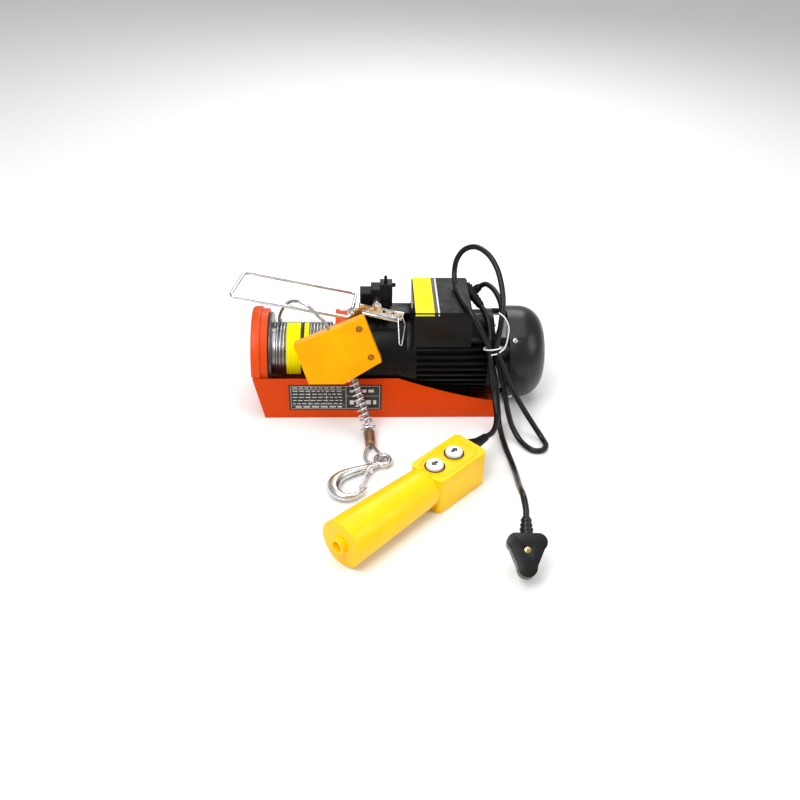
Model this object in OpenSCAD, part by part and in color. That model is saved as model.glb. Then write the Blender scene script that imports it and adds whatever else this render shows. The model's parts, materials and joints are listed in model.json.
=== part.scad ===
// Electric wire rope hoist, standing on its mounting face: base pan, rope drum, two-stage
// gearbox, fan-cooled motor, limit switch and bail, stop block, hook, control handset and leads.
// Millimetres, +Z up. Origin: centre of the underside of the base pan. The drum is towards -X.

/* [Base pan] */
// Length of the pan's floor
pan_len = 304; // [298:1:310]
// Outer width of the pan
pan_w = 124.8; // [124:0.2:130]
// Height of the skirts beside the drum
skirt_h = 60; // [52:1:60]
// Height of the skirts at the motor end
skirt_low_h = 24.6; // [20:0.2:30]
// Thickness of the folded sheet
sheet_t = 2; // [1.5:0.1:2]
// Radius of the four hanger bolt holes
hanger_hole_r = 4.5; // [4:0.5:6]
// Spacing of the hanger bolts along the hoist
hanger_dx = 160; // [140:5:170]
// Spacing of the hanger bolts across the hoist
hanger_dy = 76; // [70:2:84]

/* [Drum and rope] */
// Height of the drum and motor axis above the underside
axis_h = 62.5; // [62:0.5:66]
// Outer radius of the end cover
cover_r = 60; // [58:0.5:60]
// Radius of the drum's left flange
flange_l_r = 52; // [46:1:54]
// Radius of the drum's right flange
flange_r_r = 56; // [50:1:56]
// Radius of the drum barrel
barrel_r = 27; // [24:1:29]
// Diameter of the wire rope
rope_d = 4; // [3.6:0.1:4]
// Outer radius of the wound rope
wound_r = 39.5; // [37:0.5:39.5]

/* [Gearbox and motor] */
// Outer radius of the gearbox and of the motor's fins
gearbox_r = 57; // [56:0.5:58]
// Outer radius of the fan cover
fan_cover_r = 60.5; // [60:0.5:62]
// Gear module
gear_m = 1; // [1:1:1]
// Teeth of each pinion
pinion_z = 10; // [10:1:10]
// Teeth of each large gear
gear_z = 45; // [45:1:45]
// Radius of the drum shaft
drum_shaft_r = 8; // [7:0.5:9]
// Radius of the rotor shaft
rotor_shaft_r = 7.5; // [6.5:0.5:8]
// Spacing of the motor's cooling fins
fin_pitch = 8; // [7:0.5:10]
// Radial clearance of every shaft in its bearing
shaft_gap = 0.05; // [0.02:0.01:0.08]

/* [Terminal box and limit switch] */
// Length of the terminal box along the motor
box_len = 73; // [68:1:74]
// Width of the terminal box
box_w = 93.4; // [84:0.2:96]
// Height of the top of the terminal box's lid
box_top = 147.8; // [146:0.2:148]
// Diameter of the bail's wire
bail_wire_d = 4.8; // [4:0.2:5]

/* [Stop block and hook] */
// Lean of the stop block from the horizontal
block_lean = 69; // [68:0.5:70]
// Roll of the stop block in its own plane
block_roll = 22.5; // [21:0.5:24]
// Thickness of the stop block
block_t = 30; // [26:1:30]
// Outer diameter of the buffer spring
spring_d = 15.5; // [13:0.5:17]
// Thickness of the hook at its bowl
hook_t = 12.6; // [10:0.2:13]

/* [Handset and leads] */
// Length of the handset without its gland
handset_len = 227.5; // [225:0.5:228]
// Radius of the handset's grip at its end
grip_r = 28.5; // [27:0.5:29]
// Width of the handset's switch head
head_w = 48; // [44:1:50]
// Diameter of the push buttons
button_d = 20; // [18:0.5:21]
// Diameter of both leads
lead_d = 7; // [6:0.2:7]

/* [Hidden] */
$fn = 64;
eps = 0.01;
rope_r = rope_d / 2;
lead_r = lead_d / 2;

// Stations along the hoist
cover_x0 = -168.6;
cover_step_x = -157.2;
cover_x1 = -148;
cover_bearing_x = -161.4;
barrel_x0 = -143.5;
barrel_x1 = -62;
flange_x1 = -41.4;
gearbox_x0 = -40;
plate_x0 = 29;
plate_x1 = 37;
motor_x1 = 132;
shield_x1 = 142;
fan_cover_x0 = 159.5;
fan_cover_x1 = 209.6;
lug_screw_x = 166;
plate_screw_r = 54.8;
box_x1 = plate_x1 + box_len;
quarter_a = [45:90:315];
cover_screw_a = [-45, 45];
pan_screws = [[-142, -46], [-142, 46], [-28, -47], [-28, 47], [22, -47], [22, 47], [110, -44], [110, 44]];

// Folded end wall of the pan
wall_foot_x = -154;
wall_top_x = -167;
pan_x1 = wall_foot_x + pan_len;

// Gear train
centre_dist = gear_m * (pinion_z + gear_z) / 2;
profile_shift = 0.4;
pressure_angle = 20;
backlash = 0.12;
out_gear_x = -28;
out_gear_w = 12;
idler_gear_x = -10;
idler_gear_w = 10;

// Stop block frame: a plane through a point near the skirt's top edge
block_org = [-111.9, 50.2];
block_back = 4;
bore_in = 46;
bore_out = 50;
bore_r = 3.2;
block_mid = block_back + block_t / 2;
block_outline = [[0, 0], [93, 0], [92, -60], [38, -68], [-2, -51.5]];
block_screw_at = [[82, -12], [82, -50]];

// Rope and its end fitting
rope_entry = block_point([bore_in, 0], block_mid);
rope_exit = block_point([bore_out, -66], block_mid);
rope_down = unit(rope_exit - rope_entry);
ferrule_top = [-19.4, -107, 8.6];
ferrule_end = [-18, -131, 7.4];
washer_at = [-20.9, -100.9, 12.4];
spring_dir = unit(washer_at - rope_exit);
washer_dir = [0.22, -0.72, -0.66];
hook_eye = [-3.4, -160, 7.4];
hook_turn = 141.5;
latch_pivot = [2, 23];

// Limit lever
pivot_at = [-9.3, 145.5];
lever_y = -25.5;
plunger_x = 2;
bail_right = [[-43, -35, 134.5], [-35, 30, 133]];
knuckle_at = [[-42.4, -30.5, 134.4], [-35, 30, 133]];
bail_left = [[-190, -35, 165.5], [-177, 30, 164]];
loop_corners = [[22.5, -22.3, 131.5], [17.5, -30.5, 131], [18.5, -49.5, 104], [21.8, -49.5, 102.5],
    [26.5, -31.5, 122]];

// Handset
handset_at = [-60.5, -336, 0];
handset_turn = 44.4;
grip_x0 = 12;
neck_x = 142;
head_x = 145;
head_top = 48;
button_x = [161, 194.5];
gland_at = [handset_len, 3, 37];
gland_len = 30.5;

// Glands on the terminal box and the plug
power_gland = [[110, 30, 141], [125.5, 1.5, 130.5]];
control_gland = [[110, 38, 122], [127.3, 39.2, 138.6]];
tie_at = [135.6, -58.4, 104.3];
plug_at = [145.5, -334, 31.8];
plug_turn = 177;
plug_tilt = -35;
plug_pin_at = [[-9.525, 0, 2.54, 14.9], [9.525, 0, 2.54, 14.9], [0, 22.23, 3.53, 20.6]];

// Free rope, from the drum's top through the bail to the ferrule
rope_route = concat(
    [[-133, 14, 102.4], [-134, 5, 105.5], [-134.2, -3, 112], [-132.5, -10, 122.5], [-129, -17, 134.5],
    [-124, -24, 146], [-116, -31, 155.5], [-106, -37, 159], [-96, -42, 156.5], [-87, -46.2, 150],
    [-80, -49.8, 143.2]],
    [rope_entry - 10 * rope_down, rope_exit, rope_exit + 8 * spring_dir, washer_at - 3 * spring_dir],
    [washer_at + 2 * spring_dir, ferrule_top]);

// Lead with the plug: terminal box, tie, floor, plug
power_route = [power_gland[1], [129.5, -7.5, 127.6], [132, -18, 124], [133.5, -30, 119.5],
    [133.8, -42, 113.5], [132.4, -50, 108.3], [131.2, -54.8, 103.5], [133, -60.3, 92.5],
    [137, -64.5, 80], [140.5, -67, 66], [143, -70, 52], [144.8, -76, 38], [146, -84, 25],
    [146.9, -93, 14], [148.7, -106, 6.4], [150.4, -122, 3.9], [152.3, -140, 3.8], [154.7, -160, 4.4],
    [155.6, -181, 8], [154.7, -202, 15.5], [152.3, -224, 27], [149.6, -246, 39.5], [147.4, -266, 51.5],
    [146.2, -282, 60], [146, -296, 63.6], plug_point([0, -36, 8]), plug_point([0, -28, 8])];

// Lead with the handset: terminal box, tie, floor, tie, standing loop, tie, handset
control_route = [control_gland[1], [134, 36.5, 143.3], [142, 24, 144], [147.5, 7, 141],
    [150, -11, 136], [149, -28, 127.5], [144, -44, 116.5], [138.8, -54, 104.5], [141.5, -60, 91],
    [147, -68, 74], [152.5, -77.5, 55], [156, -90, 35], [162, -103.5, 16.5], [170.5, -117.5, 5.5],
    [177.5, -129.5, 3.8], [186, -138.5, 3.8], [197, -138, 3.8], [203, -128, 3.8], [200, -115, 5],
    [192, -105, 14], [180.5, -98, 30], [168, -90, 49], [157, -79.5, 68], [150, -71.5, 84],
    [144.5, -66.5, 95], [140, -62, 105.5], [141.5, -60.5, 120], [144.5, -53, 139],
    [146.8, -40, 159], [145, -22, 176.5], [140, -5, 190], [130, 12, 200], [116, 27, 202],
    [103, 34, 194.5], [94.5, 35, 180.5], [91.5, 30, 164.5], [92, 17, 153.7], [95.5, -5, 151.8],
    [100, -28, 151.8], [104.5, -45, 152.4], [111.5, -56, 144], [120.5, -61.5, 129.5],
    [128, -63.2, 114.5], [132, -62.6, 103.5], [133, -70, 91], [136, -75.5, 74], [138.5, -80, 57],
    [140, -92, 44], [140.5, -106, 37], [138, -124, 34.5], [131.5, -141.5, 35],
    handset_point([gland_at[0] + gland_len, gland_at[1], gland_at[2]])];

// ---- Geometry helpers ----

function unit(v) = v / norm(v);

// Point on the leaning stop block: [across, up] in its face and depth out of its plane
function block_point(ab, depth) =
    let(x = block_org[0] + ab[0] * cos(block_roll) - ab[1] * sin(block_roll),
        s = block_org[1] + ab[0] * sin(block_roll) + ab[1] * cos(block_roll))
    [x, -62 + s * cos(block_lean) - depth * sin(block_lean), 60 + s * sin(block_lean) + depth * cos(block_lean)];

// Point in the handset's own frame
function handset_point(p) = handset_at + [p[0] * cos(handset_turn) - p[1] * sin(handset_turn),
    p[0] * sin(handset_turn) + p[1] * cos(handset_turn), p[2]];

// Point in the tilted plug's own frame
function plug_point(p) =
    let(y = p[1] * cos(plug_tilt) - p[2] * sin(plug_tilt), z = p[1] * sin(plug_tilt) + p[2] * cos(plug_tilt))
    plug_at + [p[0] * cos(plug_turn) - y * sin(plug_turn), p[0] * sin(plug_turn) + y * cos(plug_turn), z];

// Direction of a route at point i
function heading(route, i) = unit(route[min(i + 1, len(route) - 1)] - route[max(i - 1, 0)]);
function loop_heading(route, i) =
    let(n = len(route)) unit(route[(i + 1) % n] - route[(i + n - 1) % n]);

// Side vectors carried along a route without twist
function carried(dirs, side, i = 0) = i == len(dirs) ? [] :
    let(s = unit(side - (side * dirs[i]) * dirs[i])) concat([s], carried(dirs, s, i + 1));

function ring_points(p, dir, side, rw, rh, sides) =
    let(up = cross(dir, side))
    [for (k = [0:sides - 1]) p + rw * cos(360 * k / sides) * side + rh * sin(360 * k / sides) * up];

function wall_faces(rings, sides, closed) =
    [for (i = [0:rings - (closed ? 1 : 2)]) for (k = [0:sides - 1])
        let(a = i * sides, b = ((i + 1) % rings) * sides, k1 = (k + 1) % sides)
        [a + k, b + k, b + k1, a + k1]];

// Round tube along a route, open at both ends and capped
module tube(route, r, sides, side) {
    dirs = [for (i = [0:len(route) - 1]) heading(route, i)];
    sv = carried(dirs, side);
    pts = [for (i = [0:len(route) - 1]) each ring_points(route[i], dirs[i], sv[i], r, r, sides)];
    last = (len(route) - 1) * sides;
    polyhedron(pts, concat(wall_faces(len(route), sides, false),
        [[for (k = [0:sides - 1]) k]], [[for (k = [sides - 1:-1:0]) last + k]]), convexity = 8);
}

// Closed wire loop lying in a plane whose normal is side
module wire_loop(route, r, sides, side) {
    dirs = [for (i = [0:len(route) - 1]) loop_heading(route, i)];
    sv = carried(dirs, side);
    pts = [for (i = [0:len(route) - 1]) each ring_points(route[i], dirs[i], sv[i], r, r, sides)];
    polyhedron(pts, wall_faces(len(route), sides, true), convexity = 8);
}

// Corner points of a closed outline, each corner rounded off over a distance c
function rounded_loop(corners, c) =
    let(n = len(corners))
    [for (i = [0:n - 1])
        let(p = corners[i], a = p + c * unit(corners[(i + n - 1) % n] - p), b = p + c * unit(corners[(i + 1) % n] - p))
        for (t = [0:0.25:1]) (1 - t) * (1 - t) * a + 2 * t * (1 - t) * p + t * t * b];

// Children drawn along +Z are laid from point a towards point b
module toward(a, b) {
    d = b - a;
    translate(a) rotate([0, acos(d[2] / norm(d)), atan2(d[1], d[0])]) children();
}

module on_axis() {
    translate([0, 0, axis_h]) children();
}

module on_idler() {
    translate([0, 0, axis_h - centre_dist]) children();
}

module x_cyl(r, x0, x1) {
    translate([x0, 0, 0]) rotate([0, 90, 0]) cylinder(r = r, h = x1 - x0);
}

module x_ring(r_out, r_in, x0, x1) {
    difference() {
        x_cyl(r_out, x0, x1);
        x_cyl(r_in, x0 - eps, x1 + eps);
    }
}

module box_between(lo, hi) {
    translate(lo) cube(hi - lo);
}

// Outline in X and Z drawn as a plate between two Y positions
module xz_plate(y0, y1) {
    translate([0, y1, 0]) rotate([90, 0, 0]) linear_extrude(y1 - y0) children();
}

// Rectangle with round corners, centred
module round_rect(l, w, r) {
    square([l - 2 * r, w], center = true);
    square([l, w - 2 * r], center = true);
    for (sx = [-1, 1], sy = [-1, 1]) translate([sx * (l / 2 - r), sy * (w / 2 - r)]) circle(r);
}

// ---- Involute gears ----

function inv(a) = tan(a) * 180 / PI - a;

function flank_angle(z, shift, r) =
    let(rb = gear_m * z * cos(pressure_angle) / 2,
        half = (90 + 2 * shift * tan(pressure_angle) * 180 / PI) / z - backlash * 90 / (PI * gear_m * z),
        a = r > rb ? acos(rb / r) : 0)
    half + inv(pressure_angle) - inv(a);

// Corners of one tooth, as [radius, angle] pairs
function tooth(z, shift, centre) =
    let(root_r = gear_m * (z / 2 - 1.25 + shift),
        tip_r = gear_m * (z / 2 + 0.9 + shift),
        foot_r = max(root_r, gear_m * z * cos(pressure_angle) / 2),
        radii = [for (i = [0:4]) foot_r + (tip_r - foot_r) * i / 4],
        foot_a = flank_angle(z, shift, foot_r))
    concat([[root_r, centre - foot_a]],
        [for (r = radii) [r, centre - flank_angle(z, shift, r)]],
        [for (i = [4:-1:0]) [radii[i], centre + flank_angle(z, shift, radii[i])]],
        [[root_r, centre + foot_a]]);

module gear(z, shift, phase, x0, w) {
    translate([x0, 0, 0]) rotate([0, 90, 0]) linear_extrude(w)
        polygon([for (t = [0:z - 1]) each [for (p = tooth(z, shift, 360 * t / z + phase))
            [p[0] * cos(p[1]), p[0] * sin(p[1])]]]);
}

// ---- Base pan ----

skirt_bend_x = 18;
skirt_curve = [for (i = [0:8]) let(t = i / 8)
    [skirt_bend_x + (pan_x1 - 1.5 - skirt_bend_x) * t, skirt_low_h + (skirt_h - skirt_low_h) * pow(1 - t, 1.35)]];

module base_pan() {
    inner = pan_w / 2 - sheet_t;
    color("orangered") difference() {
        union() {
            box_between([wall_foot_x, -pan_w / 2, 0], [pan_x1, pan_w / 2, sheet_t]);
            for (y = [-pan_w / 2, inner]) xz_plate(y, y + sheet_t)
                polygon(concat([[wall_foot_x, 0], [pan_x1, 0]],
                    [for (i = [8:-1:0]) skirt_curve[i]], [[wall_top_x, skirt_h]]));
            xz_plate(-inner - eps, inner + eps) polygon([[wall_foot_x, 0], [wall_foot_x + 2.1, 0],
                [wall_top_x + 2.1, skirt_h], [wall_top_x, skirt_h]]);
        }
        for (x = [-hanger_dx / 2, hanger_dx / 2], y = [-hanger_dy / 2, hanger_dy / 2])
            translate([x, y, -1]) cylinder(r = hanger_hole_r, h = sheet_t + 2);
        for (p = pan_screws) translate([p[0], p[1], -1]) cylinder(r = 2.6, h = sheet_t + 2);
    }
}

module rating_plate() {
    color("black") box_between([-122, -pan_w / 2 - 0.6, 12.9], [-3, -pan_w / 2, 51.8]);
}

// ---- End cover ----

module cover_outline(r) {
    circle(r);
    translate([0, -r]) square([axis_h - sheet_t, 2 * r]);
}

module cover_slab(r, x0, x1) {
    translate([x0, 0, 0]) rotate([0, 90, 0]) linear_extrude(x1 - x0) cover_outline(r);
}

module end_cover() {
    color("orangered") difference() {
        union() {
            on_axis() {
                cover_slab(cover_r - 1.6, cover_x0, cover_x0 + 1.6);
                cover_slab(cover_r, cover_x0 + 1.6, cover_step_x);
                cover_slab(cover_r - 3, cover_step_x, cover_x1);
            }
            box_between([-150, -54, sheet_t], [-136, 54, 4.6]);
            on_axis() x_ring(24, 17.5, cover_x0 + 5, cover_bearing_x + 11);
        }
        on_axis() {
            x_ring(cover_r - 9, 24, cover_x0 + 6, cover_x1 + 1);
            x_cyl(17.5, cover_bearing_x, cover_x1 + 1);
            x_cyl(drum_shaft_r + 1, cover_bearing_x - 3, cover_x1 + 1);
            for (a = cover_screw_a) rotate([a, 0, 0]) translate([0, 0, 32]) x_cyl(2.6, cover_x0 - 1, cover_x0 + 8);
        }
        xz_plate(-62, 62) polygon([[-200, -10], [wall_foot_x + 5.2, -10], [wall_foot_x + 2.2, 0],
            [wall_top_x + 2.2, skirt_h + 0.2], [-200, skirt_h + 0.2]]);
        for (p = pan_screws) translate([p[0], p[1], 0]) cylinder(r = 2.6, h = 10);
    }
}

module bearing_ring(r_out, r_in, x0, w) {
    x_ring(r_out, r_out - 3, x0, x0 + w);
    x_ring(r_out - 3, r_in + 3, x0 + 0.8, x0 + w - 0.8);
    x_ring(r_in + 3, r_in, x0, x0 + w);
}

module drum_bearings() {
    color("silver") on_axis() {
        bearing_ring(17.5, drum_shaft_r + shaft_gap, cover_bearing_x, 11);
        bearing_ring(17.5, drum_shaft_r + shaft_gap, -39.6, 10);
    }
}

module idler_bearings() {
    color("silver") on_idler() for (x = [-38.5, plate_x0]) bearing_ring(8, 4 + shaft_gap, x, 6);
}

module rotor_bearings() {
    color("silver") on_axis() for (x = [plate_x0, motor_x1 + 1])
        bearing_ring(17.5, rotor_shaft_r + shaft_gap, x, 8);
}

// Pan-head screw: head on the plane z = 0, shank down
module pan_screw(d, len) {
    cylinder(r = d / 2, h = len + eps);
    translate([0, 0, len]) cylinder(r1 = d, r2 = d * 0.72, h = d * 0.5);
}

module case_screws() {
    color("silver") {
        on_axis() {
            for (a = cover_screw_a) rotate([a, 0, 0]) translate([cover_x0 + 5.9, 0, 32])
                rotate([0, -90, 0]) pan_screw(5, 5.9);
            for (a = quarter_a) rotate([a, 0, 0]) {
                translate([0, 0, plate_screw_r]) x_cyl(1.5, plate_x0 - 12, plate_x1 - 0.2);
                translate([lug_screw_x, 0, fan_cover_r - 8]) pan_screw(4, 8);
            }
        }
        for (p = pan_screws) translate([p[0], p[1], 0.2]) pan_screw(5, p[0] < -100 ? 4.4 : 5.8);
    }
}

// ---- Gearbox ----

module foot(x0, x1, half_w, top) {
    box_between([x0, -half_w, sheet_t], [x1, half_w, top]);
}

module gearbox_housing() {
    color([0.1, 0.1, 0.1]) difference() {
        union() {
            on_axis() {
                x_cyl(gearbox_r - 1, gearbox_x0, gearbox_x0 + 1);
                x_cyl(gearbox_r, gearbox_x0 + 1, plate_x0);
            }
            foot(gearbox_x0 + 4, plate_x0 - 2, 34, 30);
            for (x = [-28, 22]) foot(x - 7, x + 7, 54, 6);
        }
        on_axis() {
            x_cyl(gearbox_r - 4.5, gearbox_x0 + 6, plate_x0 + 1);
            x_cyl(17.5, gearbox_x0 - 1, gearbox_x0 + 8);
            for (a = quarter_a) rotate([a, 0, 0]) translate([0, 0, plate_screw_r])
                x_cyl(1.5, plate_x0 - 13, plate_x0 + 1);
        }
        on_idler() x_cyl(8, gearbox_x0 + 1.4, gearbox_x0 + 8);
        for (p = pan_screws) translate([p[0], p[1], 0]) cylinder(r = 2.6, h = 10);
    }
    color([0.1, 0.1, 0.1]) on_axis() x_ring(19.3, 17.5, gearbox_x0 + 6 - eps, gearbox_x0 + 10.4);
}

module bearing_plate() {
    color([0.12, 0.12, 0.12]) difference() {
        on_axis() x_cyl(gearbox_r, plate_x0, plate_x1);
        on_axis() x_cyl(17.5, plate_x0 - 1, plate_x1 + 1);
        on_idler() x_cyl(8, plate_x0 - 1, plate_x0 + 6);
        on_axis() for (a = quarter_a) rotate([a, 0, 0]) translate([0, 0, plate_screw_r])
            x_cyl(1.5, plate_x0 - 1, plate_x1 + 1);
    }
}

// ---- Motor ----

module motor_housing() {
    core_r = gearbox_r - 6.5;
    fins = floor(42 / fin_pitch);
    color([0.07, 0.07, 0.07]) difference() {
        union() {
            on_axis() {
                x_cyl(core_r, plate_x1, motor_x1);
                x_cyl(gearbox_r, plate_x1, plate_x1 + 4);
                intersection() {
                    x_cyl(gearbox_r, plate_x1, motor_x1);
                    union() {
                        for (i = [-fins:fins]) box_between([plate_x1, -gearbox_r, i * fin_pitch - 1.3],
                            [motor_x1, gearbox_r, i * fin_pitch + 1.3]);
                        box_between([plate_x1, -44, 36], [box_x1, 44, gearbox_r]);
                    }
                }
            }
            foot(96, 124, 30, 24);
            foot(103, 117, 52, 6);
        }
        on_axis() x_cyl(core_r - 3.5, plate_x1 - 1, motor_x1 + 1);
        for (p = pan_screws) translate([p[0], p[1], 0]) cylinder(r = 2.6, h = 10);
    }
}

module stator_core() {
    color("dimgray") on_axis() x_ring(gearbox_r - 10, 27.7, 55, 115);
}

module stator_windings() {
    color("peru") on_axis() for (x = [45, 115]) x_ring(44, 30, x, x + 10);
}

module end_shield() {
    color([0.1, 0.1, 0.1]) on_axis() {
        difference() {
            x_cyl(gearbox_r, motor_x1, shield_x1);
            x_cyl(17.5, motor_x1 - 1, motor_x1 + 9);
            x_cyl(rotor_shaft_r + 1.5, motor_x1, shield_x1 + 1);
        }
        for (a = quarter_a) rotate([a, 0, 0]) difference() {
            box_between([shield_x1 - eps, -5, 50.5], [lug_screw_x + 6, 5, fan_cover_r - 3]);
            translate([lug_screw_x, 0, 45]) cylinder(r = 2, h = 15);
        }
    }
}

module brake_lining() {
    color("saddlebrown") on_axis() x_ring(34, 22, shield_x1, shield_x1 + 2);
}

module brake_disc() {
    color("gray") on_axis() {
        x_ring(36, rotor_shaft_r, shield_x1 + 2.4, shield_x1 + 6.4);
        x_ring(14, rotor_shaft_r, shield_x1 + 6.4, shield_x1 + 8.4);
    }
}

module rotor_shaft() {
    color("lightgray") on_axis() {
        gear(pinion_z, profile_shift, 0, idler_gear_x - 1, idler_gear_w + 2);
        x_cyl(4, idler_gear_x - 2, 20);
        x_cyl(rotor_shaft_r, 20, 178);
    }
}

module rotor_core() {
    color("gray") on_axis() {
        x_ring(27, rotor_shaft_r, 57, 113);
        for (x = [53, 113]) x_ring(24, 16, x, x + 4);
    }
}

module cooling_fan() {
    color([0.15, 0.15, 0.15]) on_axis() {
        x_ring(15, rotor_shaft_r, 161, 177);
        x_ring(42, 14.9, 161, 164);
        for (a = [0:36:324]) rotate([a, 0, 0]) box_between([163.5, -1, 14], [177, 1, 42]);
    }
}

// Half profile of the fan cover's round shell, from rim to hub
module fan_cover_profile(r, x_end, nose) {
    square([r, x_end - nose]);
    square([r - nose, x_end]);
    intersection() {
        translate([r - nose, x_end - nose]) circle(nose);
        square([r, x_end]);
    }
}

module fan_cover() {
    len = fan_cover_x1 - fan_cover_x0;
    color([0.16, 0.18, 0.21]) on_axis() difference() {
        translate([fan_cover_x0, 0, 0]) rotate([0, 90, 0]) rotate_extrude() difference() {
            fan_cover_profile(fan_cover_r, len, 32);
            fan_cover_profile(fan_cover_r - 2, len - 2, 30.5);
            translate([-1, -1]) square([fan_cover_r - 1, 2]);
        }
        for (a = [0:30:330]) rotate([a, 0, 0])
            box_between([fan_cover_x1 - 8, -2.2, 14], [fan_cover_x1 + 1, 2.2, 32]);
        for (a = quarter_a) rotate([a, 0, 0]) translate([lug_screw_x, 0, 50]) cylinder(r = 2.1, h = 20);
    }
}

// ---- Terminal box ----

module terminal_box() {
    y = box_w / 2;
    color([0.12, 0.12, 0.12]) difference() {
        box_between([plate_x1, -y, 98], [box_x1, y, box_top - 4]);
        difference() {
            box_between([plate_x1 + 3, 3 - y, 90], [box_x1 - 3, y - 3, box_top]);
            on_axis() x_cyl(gearbox_r + 3, plate_x1, box_x1);
        }
        on_axis() x_cyl(gearbox_r + 0.2, plate_x1 - 1, box_x1 + 1);
        for (g = [power_gland, control_gland]) translate([box_x1, g[0][1], g[0][2]]) x_cyl(4, -5, 1);
    }
}

module terminal_lid() {
    y = box_w / 2;
    color([0.15, 0.15, 0.15]) {
        translate([(plate_x1 + box_x1) / 2, 0, box_top - 4]) linear_extrude(2.4) round_rect(box_len, box_w, 3);
        translate([(plate_x1 + box_x1) / 2, 0, box_top - 1.6]) linear_extrude(1.6)
            round_rect(box_len - 2, box_w - 2, 3);
    }
}

module terminal_block() {
    color("ivory") difference() {
        box_between([55, -28, 122.6], [85, 28, 134]);
        for (y = [-22:11:22], x = [62, 78]) translate([x, y, 128]) cylinder(r = 2.5, h = 10);
    }
}

// Ribbed gland and tapered strain relief, square on the box's wall and then along its lead
module cord_gland(g) {
    d = unit(g[1] - g[0]);
    knee = g[0] + 5 * d;
    translate(g[0]) x_cyl(7.5, 0, 3);
    translate(g[0]) x_cyl(5.2, 2, 6);
    toward(knee - 1.5 * d, g[1]) {
        len = norm(g[1] - knee) + 1.5;
        cylinder(r1 = 6.4, r2 = 4.6, h = len);
        for (i = [0:4]) translate([0, 0, 3 + i * (len - 8) / 4]) cylinder(r = 6.8 - i * 0.35, h = 2);
    }
}

module cord_glands() {
    color([0.08, 0.08, 0.08]) difference() {
        union() {
            cord_gland(power_gland);
            cord_gland(control_gland);
        }
        box_between([box_x1 - 20, -60, 90], [box_x1, 60, box_top + 10]);
    }
}

// ---- Limit switch and its lever ----

module switch_bracket() {
    color([0.1, 0.1, 0.1]) {
        difference() {
            union() {
                box_between([-32, -12, 125.5], [36, 14, 128]);
                for (x = [-28, 8]) box_between([x, -9, 112], [x + 10, 9, 126]);
            }
            on_axis() x_cyl(gearbox_r, gearbox_x0, plate_x1);
        }
        box_between([-30, 10, 127], [10, 12.5, 152]);
    }
}

module limit_switch() {
    color([0.13, 0.14, 0.16]) difference() {
        union() {
            box_between([-30.4, -10, 136.5], [10.5, 10, 154.7]);
            box_between([-16.5, -10, 150], [10.5, 10, 160.5]);
            box_between([-5, -8, 158], [10.5, 8, 166.3]);
            translate([9, 0, 162]) x_cyl(2.6, 0, 5.6);
        }
        translate([plunger_x, 0, 130]) cylinder(r = 2.05, h = 50);
    }
}

module switch_plunger() {
    color("black") translate([plunger_x, 0, 134]) cylinder(r = 2, h = 40.8);
}

module lever_pivot() {
    color("silver") translate([pivot_at[0], 0, pivot_at[1]]) rotate([90, 0, 0]) {
        translate([0, 0, 10]) cylinder(r = 4.5, h = 13.9);
        translate([0, 0, 10]) cylinder(r = 2.5, h = 19.5);
        translate([0, 0, 27.1]) cylinder(r = 4.6, h = 2.4, $fn = 6);
    }
}

module limit_lever() {
    y = lever_y;
    color("silver") difference() {
        union() {
            xz_plate(y - 1.2, y + 1.2) {
                polygon([[-31, 148.8], [-31, 137.9], [22, 125.5], [25, 136]]);
                translate(pivot_at) circle(6);
            }
            xz_plate(y - 6, y - 1.1) polygon([[-28, 138], [-28, 136.4], [17, 125.9], [17, 127.5]]);
            box_between([-38.4, y - 1.2, 131.5], [-30.5, y + 1.2, 142]);
            toward(knuckle_at[0], knuckle_at[1]) cylinder(r = 5, h = 14);
            box_between([plunger_x - 3, y, 131.2], [plunger_x + 3, 4, 133.7]);
        }
        translate([pivot_at[0], 0, pivot_at[1]]) rotate([90, 0, 0]) cylinder(r = 2.55, h = 60);
        for (p = [[-0.5, 138.5], [11, 135.6]]) translate([p[0], 0, p[1]]) rotate([90, 0, 0])
            cylinder(r = 2, h = 60);
        translate([20.6, 0, 131.3]) rotate([90, 0, 0]) cylinder(r = 1.6, h = 60);
    }
    color("silver") wire_loop(rounded_loop(loop_corners, 1.6), 0.8, 8, [0, -0.9, 0.4]);
}

module limit_bail() {
    corners = [bail_right[0], bail_right[1], bail_left[1], bail_left[0]];
    color("gainsboro") wire_loop(rounded_loop(corners, 8), bail_wire_d / 2, 12,
        cross(bail_left[0] - bail_right[0], bail_right[1] - bail_right[0]));
}

// ---- Drum ----

module drum_barrel() {
    color("dimgray") on_axis() {
        x_ring(barrel_r, barrel_r - 4, barrel_x0, barrel_x1);
        for (x = [barrel_x0, barrel_x1 - 8]) x_ring(barrel_r - 4, drum_shaft_r, x, x + 8);
    }
}

module drum_left_flange() {
    color("gray") on_axis() {
        x_ring(flange_l_r, drum_shaft_r, barrel_x0 - 4, barrel_x0);
    }
}

module drum_right_flange() {
    color("orangered") on_axis() {
        x_ring(flange_r_r, drum_shaft_r, barrel_x1, barrel_x1 + 5);
        x_ring(flange_r_r - 2, flange_r_r - 6, barrel_x1 + 5 - eps, flange_x1 - 6);
        x_ring(flange_r_r, flange_r_r - 6, flange_x1 - 6 - eps, flange_x1);
    }
}

module drum_shaft() {
    color("silver") on_axis() x_cyl(drum_shaft_r, cover_bearing_x - 2, -14.5);
}

module drum_gear() {
    color("lightgray") on_axis() difference() {
        gear(gear_z, -profile_shift, 0, out_gear_x, out_gear_w);
        x_cyl(drum_shaft_r, out_gear_x - 1, out_gear_x + out_gear_w + 1);
        for (a = [0:60:300]) rotate([a, 0, 0]) translate([0, 0, 14.5]) x_cyl(4, out_gear_x - 1, -10);
    }
}

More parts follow.
